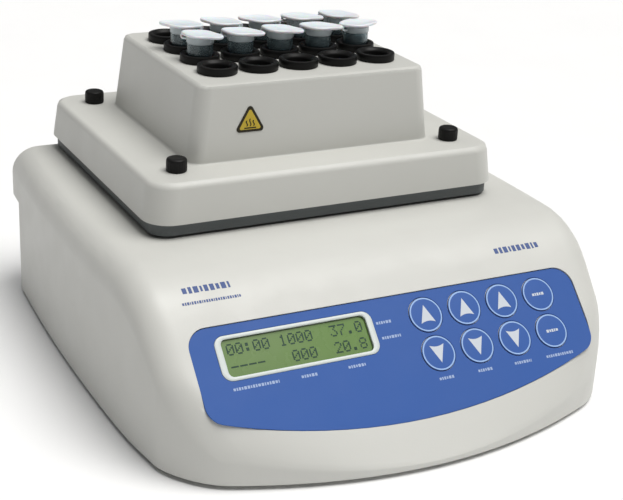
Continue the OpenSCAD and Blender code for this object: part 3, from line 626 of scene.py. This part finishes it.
def ringLoops(bm, loops, place):
    # each band of the ring is the last edge loop extruded; the end meets the start again
    points, z = loops[0]
    dots = [bm.verts.new((x * mm, y * mm, z * mm)) for x, y in points]
    edges = [bm.edges.new(pair) for pair in zip(dots, dots[1:] + dots[:1])]
    for points, z in loops[1:] + loops[:1]:
        raised = bmesh.ops.extrude_edge_only(bm, edges=edges)["geom"]
        edges = [g for g in raised if isinstance(g, bmesh.types.BMEdge)]
        dots = raisedFrom(dots, raised)
        for vert, (x, y) in zip(dots, points):
            vert.co = (x * mm, y * mm, z * mm)
    bmesh.ops.remove_doubles(bm, verts=bm.verts, dist=1e-7)
    bmesh.ops.recalc_face_normals(bm, faces=bm.faces)
    bmesh.ops.transform(bm, matrix=place, verts=bm.verts)


def makeDisplayFrame(values):
    low, high = panelBox("display_frame")
    wide, tall, e = high.x - low.x, high.y - low.y, values["edge"]
    opening = (wide - 2 * values["ends"], tall - 2 * values["sides"])

    def outer(inset, z):
        return roundRect(wide - 2 * inset, tall - 2 * inset, values["corner"] - inset), z

    def inner(spread, z):
        return roundRect(opening[0] + 2 * spread, opening[1] + 2 * spread,
                         values["innerCorner"] + spread), z

    bm = bmesh.new()
    ringLoops(bm, [outer(0, low.z), outer(0, high.z - e), outer(0.15 * e, high.z - 0.35 * e),
                   outer(e, high.z), inner(e, high.z), inner(0.15 * e, high.z - 0.35 * e),
                   inner(0, high.z - e), inner(0, low.z)],
              onPanel((low.x + high.x) / 2, (low.y + high.y) / 2))
    addPiece("displayFrame", bm, "frame", "base", ("display_frame",), 50)


makeDisplayFrame(displayFrame)

display = {
    "bevel": 0.15, "limit": 60, "segments": 2, "shade": 50,
    "columns": 16, "side": 1.6, "rise": 3.35,                # margins, and rows off the middle
    "dot": 0.575, "step": 0.6, "tall": 1.07, "thick": 0.03,  # a dot is "tall" times its width
    "rows": ["00:00 1000  37.0", "----   000  20.8"],
    # each character is five dots wide and seven dots tall, read from the top
    "shapes": {
        "0": "01110 10001 10011 10101 11001 10001 01110",
        "1": "00100 01100 00100 00100 00100 00100 01110",
        "2": "01110 10001 00001 00010 00100 01000 11111",
        "3": "11111 00010 00100 00010 00001 10001 01110",
        "7": "11111 00001 00010 00100 01000 01000 01000",
        "8": "01110 10001 10001 01110 10001 10001 01110",
        ":": "00000 01100 01100 00000 01100 01100 00000",
        ".": "00000 00000 00000 00000 00000 01100 01100",
        "-": "00000 00000 00000 11111 00000 00000 00000",
    },
}


def makeDisplay(values):
    low, high = panelBox("display_glass")
    cadCopy("display_glass", "lcd", values)
    pitch = (high.x - low.x - 2 * values["side"]) / values["columns"]
    dot, step = values["dot"], values["step"]
    bm = bmesh.new()
    for text, rise in zip(values["rows"], (values["rise"], -values["rise"])):
        for column, letter in enumerate(text):
            u = low.x + values["side"] + (column + 0.5) * pitch
            place = onPanel(u, (low.y + high.y) / 2 + rise, high.z)
            for j, line in enumerate(values["shapes"].get(letter, "").split()):
                for i, lit in enumerate(line):
                    if lit == "1":
                        bar(bm, (i - 2) * step, (3 - j) * step * values["tall"], dot,
                            dot * values["tall"], values["thick"], place)
    addPiece("displayDots", bm, "lcdDots", "base")


makeDisplay(display)
print("display done")

# cover, platform and label

# the fillet goes round the cover's foot, on edges that bend inwards by more than "crease" degrees
cover = {"bevel": 0, "shade": 32, "footFillet": 1.8, "steps": 5, "crease": 20}


def ledgeOf(node):
    # the flat on which the screws' caps stand: the widest one more than 5 mm below the deck
    areas = {}
    for face in nodes[node].data.polygons:
        if face.normal.z > 0.999:
            level = round(face.center.z / mm, 2)
            areas[level] = areas.get(level, 0) + face.area
    top = max(areas)
    return max((area, level) for level, area in areas.items() if level < top - 5)[1]


def makeCover(values):
    piece = cadCopy("block_cover", "cover", values)
    shelf = ledgeOf("block_cover") * mm
    bend = math.radians(-values["crease"])
    bm = bmesh.new()
    bm.from_mesh(piece.data)
    seam = [e for e in bm.edges
            if all(abs(v.co.z - shelf) < 0.1 * mm for v in e.verts) and len(e.link_faces) == 2
            and e.calc_face_angle_signed(0) < bend]
    bmesh.ops.bevel(bm, geom=seam, offset=values["footFillet"] * mm, offset_type="OFFSET",
                    affect="EDGES", segments=values["steps"], profile=0.5, clamp_overlap=True,
                    material=-1)
    bm.to_mesh(piece.data)
    bm.free()
    piece.data.shade_smooth()
    piece.data.set_sharp_from_angle(angle=math.radians(values["shade"]))


makeCover(cover)
platform = {"bevel": 0.5, "limit": 60, "segments": 2, "shade": 40}
cadCopy("platform_plate", "platform", platform)

sign = {
    "side": 13.7, "corner": 1.3, "border": 1.05,
    "labelThick": 0.2, "thick": 0.12, "film": 0.04, "ink": 0.03,
    # three waves over a line: x, y, width and height of the line, then the waves
    "markDrop": 0.6, "line": (0, -1.7, 5.2, 0.55),
    "waves": (2.4, 3.1, 2.4), "waveStep": 1.5, "waveFoot": -1.0,
}


def triangle(side, corner, steps=6):
    reach = side / math.sqrt(3) - 2 * corner
    points = []
    for k in range(3):
        mid = math.radians(90 + 120 * k)
        for s in range(steps + 1):
            a = mid + math.radians(-60 + 120 * s / steps)
            points.append((reach * math.cos(mid) + corner * math.cos(a),
                           reach * math.sin(mid) + corner * math.sin(a)))
    return points


def waveStroke(x, y, tall, width=0.55, sway=0.28, steps=10):
    mids = [(x + sway * math.sin(math.tau * k / steps), y + tall * k / steps)
            for k in range(steps + 1)]
    return [(a - width / 2, b) for a, b in mids] + [(a + width / 2, b) for a, b in mids[::-1]]


def makeSign(values):
    low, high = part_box("caution_label")
    lean = math.atan2(high.y - low.y - values["labelThick"] * mm, high.z - low.z)
    drop = (high.z - low.z) / mm / 6    # from the box's middle to the triangle's own
    middle = ((low.x + high.x) / 2, (low.y + high.y) / 2, (low.z + high.z) / 2)
    stand = (Matrix.Translation(middle) @ Matrix.Rotation(math.radians(90) - lean, 4, "X")
             @ at(0, -drop, 0))
    t = values["thick"]
    bm = bmesh.new()
    slab(bm, triangle(values["side"], values["corner"]), 2 * t, stand @ at(0, 0, -t))
    addPiece("signBack", bm, "signInk", "platform", ("caution_label",))
    bm = bmesh.new()
    inner = values["side"] - 2 * math.sqrt(3) * values["border"]
    slab(bm, triangle(inner, values["corner"] * 0.5), values["film"], stand @ at(0, 0, t))
    addPiece("signFace", bm, "sign", "platform")
    bm = bmesh.new()
    lift = stand @ at(0, -values["markDrop"], t + values["film"])
    bar(bm, *values["line"], values["ink"], lift)
    for k, tall in zip((-1, 0, 1), values["waves"]):
        slab(bm, waveStroke(k * values["waveStep"], values["waveFoot"], tall), values["ink"], lift)
    addPiece("signMark", bm, "signInk", "platform")


makeSign(sign)
print("cover done")

# sockets: places come from the tubes that stand in the two middle rows


def axisOf(node):
    spots = [v.co for v in nodes[node].data.vertices]
    low = min(s.z for s in spots)
    tip = [s for s in spots if s.z < low + 0.5 * mm]
    return sum(s.x for s in tip) / len(tip) / mm, sum(s.y for s in tip) / len(tip) / mm


firstX, firstY = axisOf("tube_1")
stepX = axisOf("tube_2")[0] - firstX
stepY = axisOf("tube_6")[1] - firstY
collarLow, collarHigh = (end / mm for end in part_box("collars"))
collar = {"bore": 5.3, "neck": 6.5, "sunk": 2.5, "dish": 0.55, "columns": 5, "rows": 4}


def makeCollars(values):
    radius = firstX - collarLow.x
    base, top = collarLow.z, collarHigh.z
    deck = base + values["sunk"]
    bore, neck = values["bore"], values["neck"]
    bm = bmesh.new()
    for column in range(values["columns"]):
        for row in range(values["rows"]):
            place = at(firstX + column * stepX, firstY + (row - 1) * stepY, 0)
            lathe(bm, [(bore, base), (neck, base), (neck, deck),
                       (radius - 0.25, deck), (radius, deck + 0.25), (radius, top - 0.55),
                       (radius - 0.16, top - 0.16), (radius - 0.55, top),
                       (bore + 1.5, top), (bore + 1.25, top - 0.12),
                       (bore + 0.5, top - values["dish"] - 0.3), (bore + 0.12, top - 1.2),
                       (bore, top - 1.7)], place, 48, ring=True)
    addPiece("socketCollars", bm, "cap", "platform", ("collars",), 45)


makeCollars(collar)
print("collars done")

# retaining screws with moulded caps

capScrew = {"shank": 2.0, "flute": 0.16, "flutes": 24}


def makeCapScrew(tag, values):
    node = "cap_screw_" + tag
    low, high = (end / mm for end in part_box(node))
    x, y, r = (low.x + high.x) / 2, (low.y + high.y) / 2, (high.x - low.x) / 2
    seat = ledgeOf("block_cover")
    bm = bmesh.new()
    lathe(bm, [(0, low.z), (values["shank"] - 0.4, low.z), (values["shank"], low.z + 0.4),
               (values["shank"], seat), (r - 0.35, seat), (r - 0.05, seat + 0.35),
               (r - 0.02, seat + 0.8), (r, seat + 1.0), (r, high.z - 1.35),
               (r - 0.12, high.z - 0.75), (r - 0.4, high.z - 0.3), (r - 0.9, high.z - 0.06),
               (r - 1.5, high.z), (r * 0.3, high.z), (0, high.z - 0.02)],
          at(x, y, 0), values["flutes"] * 4)
    bandLow, bandHigh = seat + 0.9, high.z - 1.2   # the fluted part of the wall
    for vert in bm.verts:
        away = Vector((vert.co.x / mm - x, vert.co.y / mm - y))
        if away.length > r - 0.06 and bandLow < vert.co.z / mm < bandHigh:
            turn = math.atan2(away.y, away.x)
            dip = values["flute"] * (0.5 - 0.5 * math.cos(turn * values["flutes"]))
            away = away.normalized() * (away.length - dip)
            vert.co.x, vert.co.y = (x + away.x) * mm, (y + away.y) * mm
    addPiece("capScrew_" + tag, bm, "cap", "screw_%s_body" % tag, (node,), 50)


for corner in ("fl", "fr", "bl", "br"):
    makeCapScrew(corner, capScrew)
print("screws done")

# tubes: a thin body with liquid in it and a hinged lid

tubeParts = {
    "body": 5.1, "neck": 5.5, "rim": 5.8, "lid": 6.2,    # radii
    "wall": 0.9, "cone": 13.4, "fill": 14, "rimTall": 2.8, "lidTall": 1.2,
    # how far the lid's tab and hinge stand out, and how broad they are
    "tab": 4.4, "tabSpread": 0.5, "hinge": 2.3, "hingeSpread": 0.5, "strapWide": 4,
    "turns": [40, 50, 45, 60, 95, 235, 225, 240, 62, 45],    # degrees each lid is turned
}


def lidOutline(values, shrink, steps=72):
    # a round lid drawn out to a thumb tab in front and a hinge behind, in one smooth line
    points = []
    for k in range(steps):
        a = math.tau * k / steps
        reach = values["lid"] - shrink
        reach += values["tab"] * math.exp(-2 * (1 + math.sin(a)) / values["tabSpread"] ** 2)
        reach += values["hinge"] * math.exp(-2 * (1 - math.sin(a)) / values["hingeSpread"] ** 2)
        points.append((reach * math.cos(a), reach * math.sin(a)))
    return points


def lidPlate(bm, values, place, low, high):
    # how far each outline is drawn in, and its height
    levels = [(0.25, low + 0.05), (0.0, (low + high) / 2), (0.12, high - 0.22), (0.4, high),
              (1.2, high), (1.6, high - 0.22)]
    dots = [bm.verts.new((x * mm, y * mm, levels[0][1] * mm))
            for x, y in lidOutline(values, levels[0][0])]
    face = bm.faces.new(dots)
    made = list(dots)
    for k, (shrink, z) in enumerate(levels[1:]):
        raised = bmesh.ops.extrude_face_region(bm, geom=[face])["geom"]
        if k:    # of the faces passed on, only the plate's underside stays
            bmesh.ops.delete(bm, geom=[face], context="FACES_ONLY")
        face = next(g for g in raised if isinstance(g, bmesh.types.BMFace))
        dots = raisedFrom(dots, raised)
        for vert, (x, y) in zip(dots, lidOutline(values, shrink)):
            vert.co = (x * mm, y * mm, z * mm)
        made += dots
    faces = list({f for v in made for f in v.link_faces})
    bmesh.ops.recalc_face_normals(bm, faces=faces)
    bmesh.ops.transform(bm, matrix=place, verts=made)


def tubeLevels(node, values):
    low, high = (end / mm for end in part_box(node))
    seal = high.z - values["lidTall"]
    return {"tip": low.z, "cone": low.z + values["cone"], "rim": seal - values["rimTall"],
            "seal": seal, "top": high.z}


def tubeBody(bm, values, level, place):
    r, neck, wall = values["body"], values["neck"], values["wall"]
    tip, cone, rim, shelf = level["tip"], level["cone"], level["rim"], collarHigh.z
    lathe(bm, [(0, tip), (1.2, tip), (1.8, tip + 0.5), (r, cone), (r, shelf + 0.1),
               (neck, shelf + 0.3), (neck, rim), (neck - wall, rim), (r - wall, shelf),
               (r - wall, cone + 0.3), (1.1, tip + 1.5), (0, tip + 1.2)], place, 56)


def tubeSample(bm, values, level, place):
    r, tip, cone = values["body"] - values["wall"], level["tip"], level["cone"]
    surface = cone + values["fill"]
    lathe(bm, [(0, tip + 1.25), (1.05, tip + 1.55), (r - 0.05, cone + 0.3),
               (r - 0.05, surface - 0.3), (r - 0.6, surface - 0.6), (0, surface - 0.6)],
          place, 40)


def tubeSkirt(bm, values, level, place):
    bore, neck, r = values["neck"] - values["wall"], values["neck"], values["rim"]
    rim, seal = level["rim"], level["seal"]
    lathe(bm, [(bore, rim), (neck, rim), (r - 0.1, rim + 0.3), (r, rim + 0.6),
               (r, seal - 0.15), (r - 0.15, seal), (bore, seal)], place, 56, ring=True)


def tubeLid(bm, values, level, place):
    # a plug that closes the neck, the plate over it, and the hinge's strap bent down behind
    r, plug, seal = values["lid"], values["neck"] - values["wall"], level["seal"]
    lathe(bm, [(0, seal - 2.0), (3.4, seal - 2.0), (plug - 0.05, seal - 2.3),
               (plug - 0.03, seal + 0.5), (0, seal + 0.5)], place, 48)
    lidPlate(bm, values, place, seal, level["top"])
    strap = [(r - 1.0, 0.1), (r + 1.2, 0.1), (r + 1.9, -0.3), (r + 2.1, -1.1), (r + 1.7, -2.0),
             (r + 0.9, -2.4), (r - 0.6, -2.4), (r - 0.6, -1.8), (r + 0.7, -1.8),
             (r + 1.2, -1.5), (r + 1.4, -1.0), (r + 1.1, -0.5), (r - 1.0, -0.4)]
    upright = Matrix(((0, 0, 1, 0), (1, 0, 0, 0), (0, 1, 0, 0), (0, 0, 0, 1)))
    wide = values["strapWide"]
    slab(bm, strap, wide, place @ at(-wide / 2, 0, seal + 0.5) @ upright)


# name, shape, material and shading angle of each piece
tubePieces = [
    ("tubeBody", tubeBody, "tube", 40),
    ("tubeSample", tubeSample, "sample", 35),
    ("tubeSkirt", tubeSkirt, "skirt", 40),
    ("tubeLid", tubeLid, "lid", 40),
]


def makeTube(n, values):
    node = "tube_%d" % n
    x, y = axisOf(node)
    place = at(x, y, 0) @ Matrix.Rotation(math.radians(values["turns"][n - 1]), 4, "Z")
    level = tubeLevels(node, values)
    for name, shape, material, angle in tubePieces:
        bm = bmesh.new()
        shape(bm, values, level, place)
        addPiece("%s%d" % (name, n), bm, material, node + "_body",
                 (node,) if shape is tubeBody else (), angle)


for number in range(1, 11):
    makeTube(number, tubeParts)
print("tubes done")

# rear: power inlet and rocker switch

inlet = {"pin": 1.0, "nut": 6.5, "nutThick": 2.0, "nutDeep": 6.5, "steps": 48}


def makeInlet(values):
    low, high = (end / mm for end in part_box("dc_inlet"))
    stand = at((low.x + high.x) / 2, high.y, (low.z + high.z) / 2)
    stand = stand @ Matrix.Rotation(math.radians(-90), 4, "X")
    deep, pin, nut = high.y - low.y, values["pin"], values["nut"]
    bm = bmesh.new()
    lathe(bm, [(0, -8.5), (2.9, -8.5), (2.9, -0.5), (3.3, 0), (5.7, 0), (6.3, -0.4),
               (6.5, -1.0), (6.5, -1.5), (4.5, -1.5), (4.5, -deep), (0, -deep)],
          stand, values["steps"])
    addPiece("inletBody", bm, "black", "base", ("dc_inlet",), 40)
    bm = bmesh.new()
    lathe(bm, [(0, -8.6), (pin, -8.6), (pin, -1.4), (pin - 0.2, -1.0), (0, -0.85)], stand, 24)
    addPiece("inletPin", bm, "steel", "base")
    bm = bmesh.new()
    turns = [math.radians(60 * k) for k in range(6)]
    slab(bm, [(nut * math.cos(a), nut * math.sin(a)) for a in turns], values["nutThick"],
         stand @ at(0, 0, -values["nutDeep"]))
    addPiece("inletNut", bm, "steel", "base")


makeInlet(inlet)
switchBody = {"bevel": 0.35, "limit": 50, "segments": 3, "shade": 40}
cadCopy("switch_body", "black", switchBody)
rocker = {
    "bevel": 0.5, "limit": 50, "segments": 3, "shade": 40,
    "wide": 0.8, "tall": 3.2, "ring": 1.5, "stroke": 0.4, "thick": 0.04,
    "apart": 4.6,                  # from the middle to each mark
    "pivotY": 98, "pivotRise": 11, "tilt": 6, "proud": 5,
}
cadCopy("switch_rocker", "black", rocker)


def makeRockerMarks(values):
    low, high = (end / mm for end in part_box("switch_rocker"))
    x, z = (low.x + high.x) / 2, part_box("switch_body")[0].z / mm + values["pivotRise"]
    lean = at(x, values["pivotY"], z) @ Matrix.Rotation(math.radians(-values["tilt"]), 4, "X")
    lift = lean @ at(0, values["proud"], 0) @ Matrix.Rotation(math.radians(-90), 4, "X")
    outer, inner, thick = values["ring"], values["ring"] - values["stroke"], values["thick"]
    bm = bmesh.new()
    bar(bm, 0, -values["apart"], values["wide"], values["tall"], thick, lift)
    lathe(bm, [(inner, 0), (outer, 0), (outer, thick), (inner, thick)],
          lift @ at(0, values["apart"], 0), 32, ring=True)
    addPiece("rockerMarks", bm, "ink", "rocker")


makeRockerMarks(rocker)
print("rear done")

# the drive, the boards and the screws keep their own shapes and take a finish

finishes = {
    "sheet": ["chassis_plate", "motor"],
    "steel": ["case_screws", "chassis_screws", "chassis_posts", "drive_shaft", "crank_fl",
              "crank_fr", "crank_bl", "crank_br", "main_bearings", "motor_rotor"],
    "aluminium": ["bearing_block", "drive_pulley", "tube_block", "heat_sensor"],
    "brass": ["counterweight", "crank_bushes", "board_spacers"],
    "board": ["control_board", "main_board", "display_module"],
    "rubber": ["drive_belt"],
    "foam": ["insulation_pad"],
    "foil": ["heater_foil"],
}
for finish, names in finishes.items():
    for name in names:
        dressNode(name, finish)
print("drive done")

# floor

bm = bmesh.new()
bmesh.ops.create_grid(bm, x_segments=8, y_segments=8, size=studio["floorHalf"])
floorMesh = bpy.data.meshes.new("floor")
bm.to_mesh(floorMesh)
bm.free()
floor = bpy.data.objects.new("floor", floorMesh)
bpy.context.scene.collection.objects.link(floor)
floorMesh.materials.append(plastic("floorPaper", studio["floor"], 0.7, 0.02, 900, 0.05, 0.04, 0.0))
